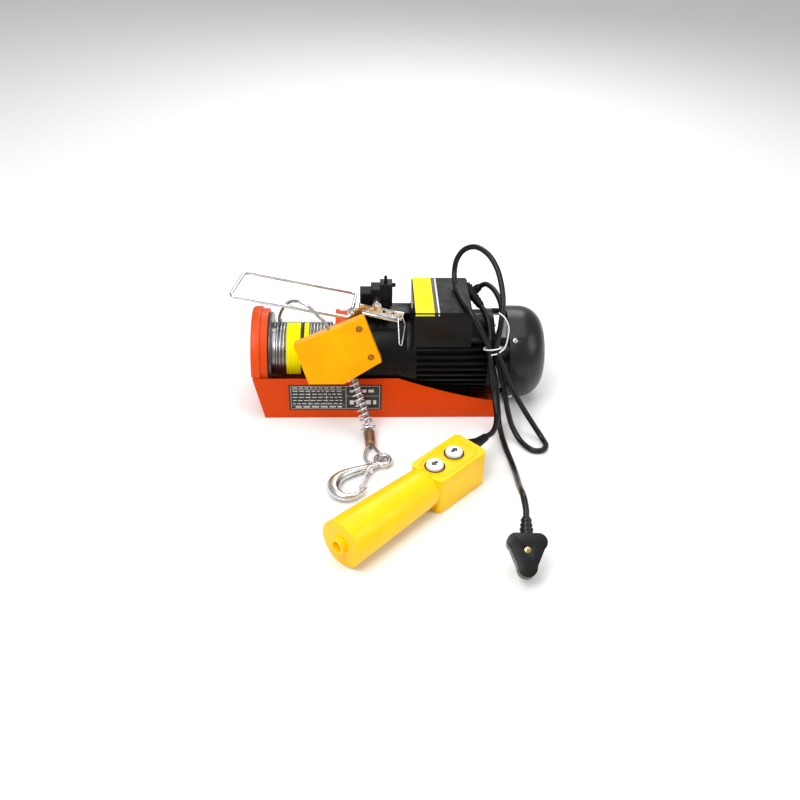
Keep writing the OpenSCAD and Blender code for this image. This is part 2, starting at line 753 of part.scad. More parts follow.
module wound_rope() {
    turns = floor((barrel_x1 - barrel_x0 - 0.4) / (rope_d + 0.1));
    pitch = (barrel_x1 - barrel_x0 - 0.4) / turns;
    color("lightgray") on_axis() translate([barrel_x0 + 0.2, 0, 0]) rotate([0, 90, 0]) rotate_extrude() {
        translate([barrel_r, 0]) square([wound_r - rope_r - barrel_r, pitch * turns]);
        for (i = [0:turns - 1]) translate([wound_r - rope_r, pitch * (i + 0.5)]) circle(rope_r, $fn = 24);
    }
}

module rope_label() {
    color("yellow") on_axis() translate([-125, 0, 0]) rotate([0, 90, 0]) rotate([0, 0, 168])
        rotate_extrude(angle = 116) translate([wound_r + 0.05, 0]) square([0.5, 29]);
}

// ---- Idler ----

module idler_shaft() {
    color("lightgray") on_idler() {
        gear(pinion_z, profile_shift, 180 / pinion_z, out_gear_x - 0.5, out_gear_w + 1);
        x_cyl(4, -38.2, 34.6);
    }
}

module idler_gear() {
    color("lightgray") on_idler() difference() {
        gear(gear_z, -profile_shift, 0, idler_gear_x, idler_gear_w);
        x_cyl(4, idler_gear_x - 1, idler_gear_x + idler_gear_w + 1);
        for (a = [0:60:300]) rotate([a, 0, 0]) translate([0, 0, 13]) x_cyl(4, idler_gear_x - 1, 5);
    }
}

// ---- Stop block ----

// Children drawn in the block's face plane, depth along +Z
module in_block(depth) {
    translate([0, -62, 60]) rotate([block_lean, 0, 0]) translate([block_org[0], block_org[1], depth])
        rotate([0, 0, block_roll]) children();
}

module block_half(depth, pocket_depth) {
    difference() {
        in_block(depth) linear_extrude(block_t / 2) polygon(block_outline);
        in_block(pocket_depth) linear_extrude(block_t / 2 - 2) {
            polygon([[4, -4], [38, -4], [40, -60], [30, -60], [4, -48]]);
            polygon([[56, -4], [72, -4], [72, -54], [58, -58]]);
        }
        toward(rope_entry - 6 * rope_down, rope_exit) cylinder(r = bore_r, h = 100);
        for (p = block_screw_at) in_block(block_back - 1) translate(p) cylinder(r = 2, h = block_t);
        for (p = block_screw_at) in_block(block_back + block_t - 6) translate(p) cylinder(r = 4.2, h = 8);
    }
}

module block_front() {
    color("orange") block_half(block_mid, block_mid - 1);
}

module block_rear() {
    color("orange") block_half(block_back, block_back + 3);
}

module block_screws() {
    color("silver") for (p = block_screw_at) in_block(block_back + 3) translate(p) {
        cylinder(r = 2, h = block_t - 9);
        translate([0, 0, block_t - 9]) cylinder(r = 3.8, h = 1.8);
    }
}

// ---- Rope, spring and hook ----

module rope_free() {
    color("silver") tube(rope_route, rope_r, 8, [1, 0, 0]);
}

module rope_eye() {
    route = [ferrule_end + [-2.2, 0, 0], [-24.6, -142, 5.2], [-24.2, -153, 2.6], [-18.5, -159.5, 2.1],
        [-11, -161, 2.1], [-6.2, -160.6, 3.6], [-4.2, -160, 7.4], [-4.6, -158.6, 11.2], [-7, -155, 13],
        [-10.5, -148, 12.8], [-13.2, -140, 10.6], ferrule_end + [2.2, 0, 0]];
    color("silver") tube(route, rope_r, 8, [0, 0, 1]);
}

module rope_ferrule() {
    len = norm(ferrule_end - ferrule_top);
    color([0.6, 0.42, 0.28]) toward(ferrule_top, ferrule_end) {
        cylinder(r1 = 7.2, r2 = 6.4, h = len - 1);
        translate([0, 0, len - 1 - eps]) cylinder(r1 = 6.4, r2 = 5.4, h = 1);
    }
}

module spring_washer() {
    color("darkgray") toward(washer_at, washer_at + washer_dir) difference() {
        cylinder(r = 10.4, h = 1.8);
        translate([0, 0, -1]) cylinder(r = 3.4, h = 4);
    }
}

module buffer_spring() {
    wire = 1.15;
    turns = 9;
    block_gap = 2.4;
    washer_gap = 5.2;
    start = rope_exit + (block_gap + wire) * spring_dir;
    len = norm(washer_at - start) - washer_gap;
    side = unit(cross(spring_dir, [0, 0, 1]));
    up = cross(spring_dir, side);
    mean_r = spring_d / 2 - wire;
    route = [for (i = [0:turns * 12]) let(a = 30 * i)
        start + spring_dir * (len * i / (turns * 12)) + mean_r * (cos(a) * side + sin(a) * up)];
    color("gainsboro") tube(route, wire, 6, spring_dir);
}

module in_hook() {
    translate(hook_eye) rotate([0, 0, hook_turn]) children();
}

// Centre line of the hook as [x, y, width, thickness]
hook_line = [[0.6, 11, 7.6, 6.2], [4.6, 20, 8.6, 8], [10.5, 31, 9, 9], [16.8, 43, 9.6, 10], [21, 55, 10.8, 11],
    [20.6, 66, 12.4, 12], [15.5, 75.5, 14.4, hook_t], [6, 82, 16, hook_t], [-4, 82, 15.4, hook_t],
    [-11.5, 76.5, 13, 12], [-15, 68.5, 10.4, 10.4], [-16.3, 60.5, 8, 8.4], [-16.6, 54.5, 5.4, 6],
    [-16.6, 52.6, 2.4, 3]];

module hook() {
    sides = 12;
    route = [for (p = hook_line) [p[0], p[1], 0]];
    pts = [for (i = [0:len(route) - 1]) let(d = heading(route, i), s = [d[1], -d[0], 0])
        each ring_points(route[i], d, s, hook_line[i][2] / 2, hook_line[i][3] / 2, sides)];
    last = (len(route) - 1) * sides;
    color("lightgray") in_hook() difference() {
        union() {
            rotate_extrude() translate([8.6, 0]) circle(3.1, $fn = 32);
            polyhedron(pts, concat(wall_faces(len(route), sides, false),
                [[for (k = [0:sides - 1]) k]], [[for (k = [sides - 1:-1:0]) last + k]]), convexity = 6);
            translate([latch_pivot[0], latch_pivot[1], -4.2]) cylinder(r = 4, h = 8.4);
        }
        translate([latch_pivot[0], latch_pivot[1], -8]) cylinder(r = 1.5, h = 16);
    }
}

module hook_latch() {
    v = [-12.6 - latch_pivot[0], 60 - latch_pivot[1]];
    color("silver") in_hook() translate([latch_pivot[0], latch_pivot[1], 0]) rotate([0, 0, atan2(v[1], v[0])]) {
        cylinder(r = 1.45, h = 11.2, center = true);
        for (z = [-5.9, 4.5]) {
            translate([0, 0, z]) cylinder(r = 3.4, h = 1.4);
            box_between([0, -2.8, z], [17, 1.2, z + 1.4]);
        }
        box_between([13, -1.4, -5.4], [norm(v) - 0.6, 0.1, 5.4]);
    }
}

// ---- Handset ----

module in_handset() {
    translate(handset_at) rotate([0, 0, handset_turn]) children();
}

module handset_solid(t) {
    translate([0, 0, grip_r]) {
        translate([grip_x0 + t, 0, 0]) rotate([0, 90, 0])
            cylinder(r1 = grip_r - t, r2 = head_w / 2 - t, h = neck_x - grip_x0 - t);
        translate([neck_x, 0, 0]) rotate([0, 90, 0])
            cylinder(r1 = head_w / 2 - t, r2 = head_w / 2 - 4.5 - t, h = 9);
    }
    translate([(head_x + handset_len) / 2, 0, 0.6 + t]) linear_extrude(head_top - 0.6 - 2 * t)
        round_rect(handset_len - head_x - 2 * t, head_w - 2 * t, 6 - t);
}

module handset_half(z0, z1) {
    difference() {
        intersection() {
            handset_solid(0);
            box_between([-2, -40, z0], [handset_len + 2, 40, z1]);
        }
        handset_solid(2.5);
        for (x = button_x) translate([x, 0, 40]) cylinder(r = button_d / 2 + 0.4, h = 20);
        translate(gland_at - [4, 0, 0]) x_cyl(4, 0, 6);
    }
}

module handset_upper() {
    color("yellow") in_handset() {
        handset_half(grip_r, 60);
        for (x = button_x) translate([x, 0, head_top - eps]) difference() {
            cylinder(r = button_d / 2 + 2.4, h = 1.6);
            translate([0, 0, -1]) cylinder(r = button_d / 2 + 0.4, h = 4);
        }
        translate([grip_x0, 0, grip_r]) intersection() {
            x_ring(10, 6.5, -6, 2.6);
            box_between([-6, -12, 0], [2.6, 12, 14]);
        }
    }
}

module handset_lower() {
    color("gold") in_handset() {
        handset_half(-1, grip_r);
        translate([grip_x0, 0, grip_r]) intersection() {
            x_ring(10, 6.5, -6, 2.6);
            box_between([-6, -12, -14], [2.6, 12, 0]);
        }
    }
}

module handset_gland() {
    color([0.08, 0.08, 0.08]) in_handset() translate(gland_at) {
        x_cyl(10, 0, 4);
        translate([4 - eps, 0, 0]) rotate([0, 90, 0]) cylinder(r1 = 10, r2 = 6.2, h = 11);
        translate([15 - 2 * eps, 0, 0]) rotate([0, 90, 0]) cylinder(r1 = 6.2, r2 = 4.8, h = gland_len - 15);
    }
}

module capacitor() {
    color("whitesmoke") in_handset() translate([0, 0, grip_r]) {
        x_cyl(20, 20, 96);
        x_cyl(17, 96, 99);
        for (y = [-6, 6]) box_between([98, y - 0.4, -3], [107, y + 0.4, 3]);
    }
}

module switch_module() {
    color("dimgray") in_handset() difference() {
        box_between([button_x[0] - 12, -14, 8], [button_x[1] + 12, 14, 34]);
        for (x = button_x) translate([x, 0, 20]) cylinder(r = 3.1, h = 20);
    }
}

module button(x, tint) {
    color(tint) in_handset() translate([x, 0, 0]) {
        translate([0, 0, 40.2]) cylinder(r = button_d / 2, h = 12.8);
        translate([0, 0, 53 - eps]) cylinder(r1 = button_d / 2, r2 = button_d / 2 - 1.4, h = 1.2);
        translate([0, 0, 26]) cylinder(r = 3, h = 15);
    }
}

module button_up() {
    button(button_x[1], "white");
}

module button_down() {
    button(button_x[0], "white");
}

// ---- Leads and plug ----

module power_cord() {
    color([0.1, 0.1, 0.1]) tube(power_route, lead_r, 8, [0, 0, 1]);
}

module control_cord() {
    color([0.1, 0.1, 0.1]) tube(control_route, lead_r, 8, [0, 0, 1]);
}

module cord_tie() {
    color("white") toward(tie_at, tie_at + [0.12, -0.35, -0.93]) rotate_extrude()
        translate([10.7, 0]) circle(0.9, $fn = 16);
}

module in_plug() {
    translate(plug_at) rotate([0, 0, plug_turn]) rotate([plug_tilt, 0, 0]) children();
}

module plug_outline(inset) {
    for (x = [-12, 12]) translate([x, 0]) circle(9.5 - inset);
    translate([0, 27]) circle(10.5 - inset);
    polygon([[-15, inset - 9.5], [15, inset - 9.5], [18 - inset, 8], [10.4 - inset, 26],
        [inset - 10.4, 26], [inset - 18, 8]]);
}

module plug_body() {
    color([0.12, 0.13, 0.15]) in_plug() difference() {
        union() {
            linear_extrude(16) plug_outline(0);
            translate([0, 0, 16 - eps]) linear_extrude(2) plug_outline(1.2);
            translate([0, -6, 8]) rotate([90, 0, 0]) cylinder(r1 = 7.6, r2 = 4.6, h = 22);
            for (i = [0:2]) translate([0, -13 - i * 5, 8]) rotate([90, 0, 0]) cylinder(r = 7.4 - i * 0.7, h = 2.6);
        }
        for (p = plug_pin_at) translate([p[0], p[1], -1]) cylinder(r = p[2] - 0.6, h = 9);
        translate([0, 9, 15]) cylinder(r = 3.6, h = 5);
    }
}

module plug_pins() {
    color("gold") in_plug() {
        for (p = plug_pin_at) translate([p[0], p[1], 0]) {
            translate([0, 0, -p[3]]) cylinder(r = p[2], h = p[3]);
            translate([0, 0, -eps]) cylinder(r = p[2] - 0.6, h = 8 + eps);
        }
        translate([0, 9, 15]) cylinder(r = 3.6, h = 2.2);
    }
}

base_pan();
end_cover();
case_screws();
drum_bearings();
gearbox_housing();
idler_bearings();
bearing_plate();
rotor_bearings();
motor_housing();
stator_core();
stator_windings();
end_shield();
brake_lining();
fan_cover();
terminal_box();
terminal_lid();
terminal_block();
cord_glands();
rating_plate();
switch_bracket();
limit_switch();
lever_pivot();
rope_free();
rope_eye();
rope_ferrule();
spring_washer();
buffer_spring();
handset_upper();
handset_lower();
handset_gland();
capacitor();
switch_module();
power_cord();
control_cord();
cord_tie();
plug_body();
plug_pins();
drum_barrel();
drum_left_flange();
drum_right_flange();
drum_shaft();
drum_gear();
wound_rope();
rope_label();
idler_shaft();
idler_gear();
rotor_shaft();
rotor_core();
cooling_fan();
brake_disc();
limit_lever();
limit_bail();
switch_plunger();
block_front();
block_rear();
block_screws();
hook();
hook_latch();
button_up();
button_down();
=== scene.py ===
import json
import math

import bmesh
import bpy
from mathutils import Matrix, Vector


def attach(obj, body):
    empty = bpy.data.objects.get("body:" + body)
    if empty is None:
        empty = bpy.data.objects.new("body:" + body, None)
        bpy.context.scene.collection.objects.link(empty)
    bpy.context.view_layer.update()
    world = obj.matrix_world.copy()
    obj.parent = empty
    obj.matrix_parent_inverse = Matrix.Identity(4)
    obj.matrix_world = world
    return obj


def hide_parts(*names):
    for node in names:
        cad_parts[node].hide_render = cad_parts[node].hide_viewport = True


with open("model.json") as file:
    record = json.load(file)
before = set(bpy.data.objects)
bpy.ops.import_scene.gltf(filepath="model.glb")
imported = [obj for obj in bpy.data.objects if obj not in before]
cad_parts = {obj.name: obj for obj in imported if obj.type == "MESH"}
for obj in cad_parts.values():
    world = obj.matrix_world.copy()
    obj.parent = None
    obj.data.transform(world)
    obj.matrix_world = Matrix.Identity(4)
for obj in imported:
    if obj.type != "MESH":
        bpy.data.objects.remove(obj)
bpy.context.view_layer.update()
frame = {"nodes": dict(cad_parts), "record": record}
BODY_OF = {n: b for b, ns in frame["record"]["behaviour"]["bodies"].items() for n in ns}
SLOT_OF = {s["node"]: s["material_slot"] for s in frame["record"]["subparts"]}
MM = 0.001
AXIS_H = 62.5  # Height of the axis that drum, gears and motor share
EX, EZ = Vector((1, 0, 0)), Vector((0, 0, 1))

# ---------------------------------------------------------------- camera
SENSOR_WIDTH, FOCAL_LENGTH = 36, 43.64
CAM_AT = Vector((-0.03109, -1.08073, 0.75840))
PITCH, HEADING, ROLL = math.radians(35.63), math.radians(2.92), math.radians(1.5)
look = Vector((math.sin(HEADING) * math.cos(PITCH), math.cos(HEADING) * math.cos(PITCH), -math.sin(PITCH)))
level = Vector((math.cos(HEADING), -math.sin(HEADING), 0))
upward = level.cross(look)
cam_x = math.cos(ROLL) * level + math.sin(ROLL) * upward
cam_y = math.cos(ROLL) * upward - math.sin(ROLL) * level
cam_data = bpy.data.cameras.new("camera")
cam_data.sensor_width = SENSOR_WIDTH
cam_data.lens = FOCAL_LENGTH
camera = bpy.data.objects.new("camera", cam_data)
bpy.context.scene.collection.objects.link(camera)
camera.matrix_world = Matrix.Translation(CAM_AT) @ Matrix((cam_x, cam_y, -look)).transposed().to_4x4()
bpy.context.scene.camera = camera


# ---------------------------------------------------------------- cords' routes and end points, given first
ROPE_D, LEAD_D = 4.0, 7.0
BLOCK_LEAN, BLOCK_ROLL = math.radians(69), math.radians(22.5)
# Foot of the leaning face's plane, and how far up that face the block's left corner lies
BLOCK_CORNER, BLOCK_UP = Vector((-111.9, -62, 60)), 50.2
HANDSET_TURN = Matrix.Rotation(math.radians(44.4), 3, "Z")
HANDSET_AT = Vector((-60.5, -336, 0))
PLUG_TURN = Matrix.Rotation(math.radians(177), 3, "Z") @ Matrix.Rotation(math.radians(-35), 3, "X")
PLUG_AT = Vector((145.5, -334, 31.8))


def handset_point(x, y, z):
    """Point given in the handset's own axes: X along it, Z up through its buttons."""
    return HANDSET_AT + HANDSET_TURN @ Vector((x, y, z))


def plug_point(x, y, z):
    """Point given in the plug's own axes: Y from its lead to its earth pin, Z up out of its back."""
    return PLUG_AT + PLUG_TURN @ Vector((x, y, z))


def block_point(a, b, depth):
    """Point of the leaning stop block: across and up in its face, and depth out of its plane."""
    x = BLOCK_CORNER.x + a * math.cos(BLOCK_ROLL) - b * math.sin(BLOCK_ROLL)
    up_face = BLOCK_UP + a * math.sin(BLOCK_ROLL) + b * math.cos(BLOCK_ROLL)
    return Vector((x, BLOCK_CORNER.y + up_face * math.cos(BLOCK_LEAN) - depth * math.sin(BLOCK_LEAN),
                   BLOCK_CORNER.z + up_face * math.sin(BLOCK_LEAN) + depth * math.cos(BLOCK_LEAN)))


ROPE_DEPTH = 19  # How deep in the block its bore lies
ROPE_IN, ROPE_OUT = block_point(46, 0, ROPE_DEPTH), block_point(50, -66, ROPE_DEPTH)
ROPE_DOWN = (ROPE_OUT - ROPE_IN).normalized()
FERRULE_TOP, FERRULE_END = Vector((-19.4, -107, 8.6)), Vector((-18, -131, 7.4))
WASHER_AT = Vector((-20.9, -100.9, 12.4))
SPRING_DIR = (WASHER_AT - ROPE_OUT).normalized()
# Drum, bail, stop block, spring, ferrule
ROPE_ROUTE = [(-133, 14, 102.4), (-134, 5, 105.5), (-134.2, -3, 112), (-132.5, -10, 122.5), (-129, -17, 134.5),
              (-124, -24, 146), (-116, -31, 155.5), (-106, -37, 159), (-96, -42, 156.5), (-87, -46.2, 150),
              (-80, -49.8, 143.2), ROPE_IN - 10 * ROPE_DOWN, ROPE_OUT, ROPE_OUT + 8 * SPRING_DIR,
              WASHER_AT - 3 * SPRING_DIR, WASHER_AT + 2 * SPRING_DIR, FERRULE_TOP]
# Terminal box, tie, floor, plug
POWER_ROUTE = [(125.5, 1.5, 130.5), (129.5, -7.5, 127.6), (132, -18, 124), (133.5, -30, 119.5),
               (133.8, -42, 113.5), (132.4, -50, 108.3), (131.2, -54.8, 103.5), (133, -60.3, 92.5),
               (137, -64.5, 80), (140.5, -67, 66), (143, -70, 52), (144.8, -76, 38), (146, -84, 25),
               (146.9, -93, 14), (148.7, -106, 6.4), (150.4, -122, 3.9), (152.3, -140, 3.8), (154.7, -160, 4.4),
               (155.6, -181, 8), (154.7, -202, 15.5), (152.3, -224, 27), (149.6, -246, 39.5), (147.4, -266, 51.5),
               (146.2, -282, 60), (146, -296, 63.6), plug_point(0, -36, 8), plug_point(0, -28, 8)]
# Terminal box, tie, floor, tie, standing loop, tie, handset
CONTROL_ROUTE = [(127.3, 39.2, 138.6), (134, 36.5, 143.3), (142, 24, 144), (147.5, 7, 141),
                 (150, -11, 136), (149, -28, 127.5), (144, -44, 116.5), (138.8, -54, 104.5), (141.5, -60, 91),
                 (147, -68, 74), (152.5, -77.5, 55), (156, -90, 35), (162, -103.5, 16.5), (170.5, -117.5, 5.5),
                 (177.5, -129.5, 3.8), (186, -138.5, 3.8), (197, -138, 3.8), (203, -128, 3.8), (200, -115, 5),
                 (192, -105, 14), (180.5, -98, 30), (168, -90, 49), (157, -79.5, 68), (150, -71.5, 84),
                 (144.5, -66.5, 95), (140, -62, 105.5), (141.5, -60.5, 120), (144.5, -53, 139),
                 (146.8, -40, 159), (145, -22, 176.5), (140, -5, 190), (130, 12, 200), (116, 27, 202),
                 (103, 34, 194.5), (94.5, 35, 180.5), (91.5, 30, 164.5), (92, 17, 153.7), (95.5, -5, 151.8),
                 (100, -28, 151.8), (104.5, -45, 152.4), (111.5, -56, 144), (120.5, -61.5, 129.5),
                 (128, -63.2, 114.5), (132, -62.6, 103.5), (133, -70, 91), (136, -75.5, 74), (138.5, -80, 57),
                 (140, -92, 44), (140.5, -106, 37), (138, -124, 34.5), (131.5, -141.5, 35),
                 handset_point(258, 3, 37)]


# ---------------------------------------------------------------- materials
def srgb(r, g, b):
    """Linear colour from 0 to 255 display values."""
    return tuple(((c / 255 + 0.055) / 1.055) ** 2.4 if c > 10 else c / 255 / 12.92 for c in (r, g, b)) + (1.0,)


class Shader:
    """Small builder for a node material around one Principled shader."""

    def __init__(self, name):
        self.mat = bpy.data.materials.new(name)
        self.mat.use_nodes = True
        self.tree = self.mat.node_tree
        self.bsdf = self.tree.nodes["Principled BSDF"]
        self.coord = self.add("ShaderNodeTexCoord").outputs["Object"]

    def add(self, kind, **values):
        node = self.tree.nodes.new(kind)
        for key, value in values.items():
            setattr(node, key, value)
        return node

    def link(self, a, b):
        self.tree.links.new(a, b)

    def noise(self, scale, detail, rough=0.55, stretch=None):
        node = self.add("ShaderNodeTexNoise")
        node.inputs["Scale"].default_value = scale
        node.inputs["Detail"].default_value = detail
        node.inputs["Roughness"].default_value = rough
        source = self.coord
        if stretch:
            mapping = self.add("ShaderNodeMapping")
            mapping.inputs["Scale"].default_value = stretch
            self.link(self.coord, mapping.inputs["Vector"])
            source = mapping.outputs["Vector"]
        self.link(source, node.inputs["Vector"])
        return node.outputs["Fac"]

    def ramp(self, value, low, high, out_low=0.0, out_high=1.0):
        node = self.add("ShaderNodeMapRange", clamp=True)
        for key, number in zip(("From Min", "From Max", "To Min", "To Max"), (low, high, out_low, out_high)):
            node.inputs[key].default_value = number
        self.link(value, node.inputs["Value"])
        return node.outputs["Result"]

    def mix(self, factor, a, b):
        node = self.add("ShaderNodeMix", data_type="RGBA")
        self.link(factor, node.inputs["Factor"])
        for socket, value in ((node.inputs[6], a), (node.inputs[7], b)):
            if isinstance(value, tuple):
                socket.default_value = value
            else:
                self.link(value, socket)
        return node.outputs[2]

    def math(self, op, a, b):
        node = self.add("ShaderNodeMath", operation=op)
        for socket, value in zip(node.inputs, (a, b)):
            if isinstance(value, (int, float)):
                socket.default_value = value
            else:
                self.link(value, socket)
        return node.outputs[0]

    def bump(self, height, distance, strength, normal=None):
        node = self.add("ShaderNodeBump")
        node.inputs["Strength"].default_value = strength
        node.inputs["Distance"].default_value = distance
        self.link(height, node.inputs["Height"])
        if normal:
            self.link(normal, node.inputs["Normal"])
        return node.outputs["Normal"]

    def edges(self):
        """Where the surface is convex and sharp, broken up by noise."""
        geometry = self.add("ShaderNodeNewGeometry")
        sharp = self.ramp(geometry.outputs["Pointiness"], 0.52, 0.60)
        return self.math("MULTIPLY", sharp, self.ramp(self.noise(900, 6), 0.42, 0.62))

    def set(self, **values):
        """Sets or links the Principled shader's inputs, named with underscores for spaces."""
        for key, value in values.items():
            socket = self.bsdf.inputs[key.replace("_", " ")]
            if isinstance(value, (int, float, tuple)):
                socket.default_value = value
            else:
                self.link(value, socket)
        return self


def darker(colour, factor):
    return tuple(c * factor for c in colour[:3]) + (1.0,)


def painted(name, colour, wear, roughness=0.34, coat=0.25, peel=0.00008, shine=0.5):
    s = Shader(name)
    tint = s.ramp(s.noise(14, 3), 0.3, 0.75)
    base = s.mix(tint, darker(colour, 0.86), colour)
    base = s.mix(s.math("MULTIPLY", s.edges(), 0.5), base, wear)
    rough = s.ramp(s.noise(60, 5), 0.3, 0.7, roughness - 0.05, roughness + 0.09)
    normal = s.bump(s.noise(420, 3, 0.5), peel, 0.6)
    normal = s.bump(s.noise(2600, 2, 0.5), 0.00002, 0.5, normal)
    return s.set(Base_Color=base, Roughness=rough, Normal=normal, Specular_IOR_Level=shine, Coat_Weight=coat,
                 Coat_Roughness=0.18).mat


def moulded(name, colour, shade, roughness=0.4, grain=0.00004, grain_scale=1500, soft=0.0, shine=0.5):
    s = Shader(name)
    base = s.mix(s.ramp(s.noise(22, 3), 0.32, 0.72), shade, colour)
    base = s.mix(s.math("MULTIPLY", s.ramp(s.noise(300, 6), 0.62, 0.8), 0.12), base, shade)
    rough = s.ramp(s.noise(90, 5), 0.3, 0.7, roughness - 0.06, roughness + 0.08)
    normal = s.bump(s.noise(grain_scale, 3, 0.6), grain, 0.5)
    s.set(Base_Color=base, Roughness=rough, Normal=normal, Specular_IOR_Level=shine)
    if soft:
        s.set(Subsurface_Weight=soft, Subsurface_Radius=(0.004, 0.002, 0.0005))
    return s.mat


GRIME = (0.05, 0.045, 0.04, 1)


def metal(name, colour, roughness=0.24, streak=(1, 1, 1), grime_amount=0.35):
    s = Shader(name)
    dirt = s.math("MULTIPLY", s.ramp(s.noise(45, 6, 0.65), 0.5, 0.78), grime_amount)
    cloudy = s.mix(s.ramp(s.noise(120, 4), 0.3, 0.7), darker(colour, 0.8), colour)
    base = s.mix(dirt, cloudy, GRIME)
    rough = s.ramp(s.noise(900, 4, 0.6, streak), 0.3, 0.7, roughness - 0.07, roughness + 0.13)
    normal = s.bump(s.noise(1440, 3, 0.6, streak), 0.00003, 0.5)
    return s.set(Base_Color=base, Roughness=rough, Normal=normal, Metallic=1.0).mat


MATS = {
    "orange_paint": painted("orange_paint", srgb(210, 62, 0), srgb(226, 100, 40), 0.42, 0.0, shine=0.1),
    "cover_paint": painted("cover_paint", srgb(222, 72, 4), srgb(240, 130, 80), 0.38, 0.05, shine=0.2),
    "black_paint": painted("black_paint", srgb(13, 12, 12), srgb(34, 33, 33), 0.3, 0.05, 0.00014, 0.14),
    "fan_cover_plastic": moulded("fan_cover_plastic", srgb(18, 20, 25), srgb(13, 14, 18), 0.32, shine=0.4),
    "black_plastic": moulded("black_plastic", srgb(14, 14, 15), srgb(10, 10, 11), 0.42, shine=0.16),
    "cord_rubber": moulded("cord_rubber", srgb(12, 12, 13), srgb(8, 8, 9), 0.34, 0.00003, 900, shine=0.34),
    "zinc": metal("zinc", (0.76, 0.77, 0.79, 1), 0.24),
    "bright_steel": metal("bright_steel", (0.58, 0.58, 0.60, 1), 0.28, (1, 12, 12)),
    "rope_wire": metal("rope_wire", (0.52, 0.52, 0.53, 1), 0.3, grime_amount=0.6),
    "drum_grey": painted("drum_grey", srgb(66, 66, 66), srgb(120, 120, 118)),
    "ferrule_copper": metal("ferrule_copper", (0.42, 0.27, 0.17, 1), 0.4, grime_amount=0.6),
    "winding_copper": metal("winding_copper", (0.60, 0.26, 0.12, 1), 0.35, (1, 8, 8)),
    "lining": moulded("lining", srgb(90, 72, 60), srgb(60, 48, 40), 0.8, 0.0002, 700),
    "block_amber": moulded("block_amber", srgb(252, 174, 0), srgb(246, 158, 0), 0.42, 0.00006, 700, 0.1, 0.1),
    "handset_yellow": moulded("handset_yellow", srgb(255, 210, 0), srgb(250, 194, 0), 0.32, 0.00004, 1100, 0.06,
                              0.25),
    "white_plastic": moulded("white_plastic", srgb(240, 240, 238), srgb(226, 226, 222), 0.3),
    "plate_print": moulded("plate_print", srgb(18, 18, 18), srgb(12, 12, 12), 0.3),
    "label_yellow": moulded("label_yellow", srgb(246, 242, 0), srgb(238, 230, 0), 0.35, shine=0.06),
    "pin_brass": metal("pin_brass", (0.80, 0.62, 0.28, 1), 0.2, (10, 10, 1)),
}
PRINT_WHITE = moulded("print_white", srgb(225, 225, 222), srgb(200, 200, 198), 0.4)
PRINT_BLACK = moulded("print_black", srgb(24, 22, 20), srgb(16, 15, 14), 0.4)
SCREW_AMBER = metal("screw_amber", (0.62, 0.40, 0.14, 1), 0.35)


# ---------------------------------------------------------------- mesh helpers
def finish_mesh(name, mesh, body, slot, replaces, material=None, angle=32):
    """An object from a mesh, smooth up to an angle, on its body, with its slot and what it replaces."""
    mesh.materials.clear()
    mesh.materials.append(material or MATS[slot])
    for p in mesh.polygons:
        p.use_smooth = True
    mesh.set_sharp_from_angle(angle=math.radians(angle))
    obj = bpy.data.objects.new(name, mesh)
    bpy.context.scene.collection.objects.link(obj)
    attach(obj, body)
    if replaces:
        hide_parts(*replaces)
    return obj


def mesh_from(name, verts, faces):
    """A mesh from points in millimetres, its faces turned outward."""
    mesh = bpy.data.meshes.new(name)
    mesh.from_pydata([Vector(v) * MM for v in verts], [], faces)
    bm = bmesh.new()
    bm.from_mesh(mesh)
    bmesh.ops.recalc_face_normals(bm, faces=bm.faces)
    bm.to_mesh(mesh)
    bm.free()
    return mesh


def from_cad(node, bevel, segments=2, material=None):
    """A clean copy of a CAD node's mesh with its sharp edges rounded off."""
    mesh = frame["nodes"][node].data.copy()
    bm = bmesh.new()
    bm.from_mesh(mesh)
    bmesh.ops.remove_doubles(bm, verts=bm.verts, dist=2e-6)
    bmesh.ops.dissolve_limit(bm, angle_limit=math.radians(0.3), verts=bm.verts, edges=bm.edges)
    if bevel:
        sharp = [e for e in bm.edges if len(e.link_faces) == 2 and e.calc_face_angle(0) > math.radians(35)]
        bmesh.ops.bevel(bm, geom=sharp, offset=bevel * MM, segments=segments, profile=0.5, affect="EDGES",
                        clamp_overlap=True)
    bm.to_mesh(mesh)
    bm.free()
    return finish_mesh(node + ".shape", mesh, BODY_OF[node], SLOT_OF[node], [node], material)


def spline(points, step):
    """Points evenly spaced on a smooth curve through the given points, in millimetres."""
    pts = [Vector(p) for p in points]
    dense = []
    for i in range(len(pts) - 1):
        p1, p2 = pts[i], pts[i + 1]
        p0 = pts[i - 1] if i > 0 else p1 * 2 - p2
        p3 = pts[i + 2] if i + 2 < len(pts) else p2 * 2 - p1
        k1, k2 = max((p1 - p0).length, 1e-6) ** 0.5, max((p2 - p1).length, 1e-6) ** 0.5
        k3 = max((p3 - p2).length, 1e-6) ** 0.5
        m1 = (p2 - p1 + k2 * ((p1 - p0) / k1 - (p2 - p0) / (k1 + k2)))
        m2 = (p2 - p1 + k2 * ((p3 - p2) / k3 - (p3 - p1) / (k2 + k3)))
        for j in range(16):
            t = j / 16
            h1, h2 = 2 * t ** 3 - 3 * t ** 2 + 1, t ** 3 - 2 * t ** 2 + t
            dense.append(h1 * p1 + h2 * m1 + (3 * t ** 2 - 2 * t ** 3) * p2 + (t ** 3 - t ** 2) * m2)
    dense.append(pts[-1])
    lengths = [0.0]
    for a, b in zip(dense, dense[1:]):
        lengths.append(lengths[-1] + (b - a).length)
    count = max(2, round(lengths[-1] / step))
    out, k = [], 0
    for i in range(count + 1):
        want = lengths[-1] * i / count
        while k < len(dense) - 2 and lengths[k + 1] < want:
            k += 1
        f = (want - lengths[k]) / max(lengths[k + 1] - lengths[k], 1e-9)
        out.append(dense[k].lerp(dense[k + 1], min(max(f, 0), 1)))
    return out


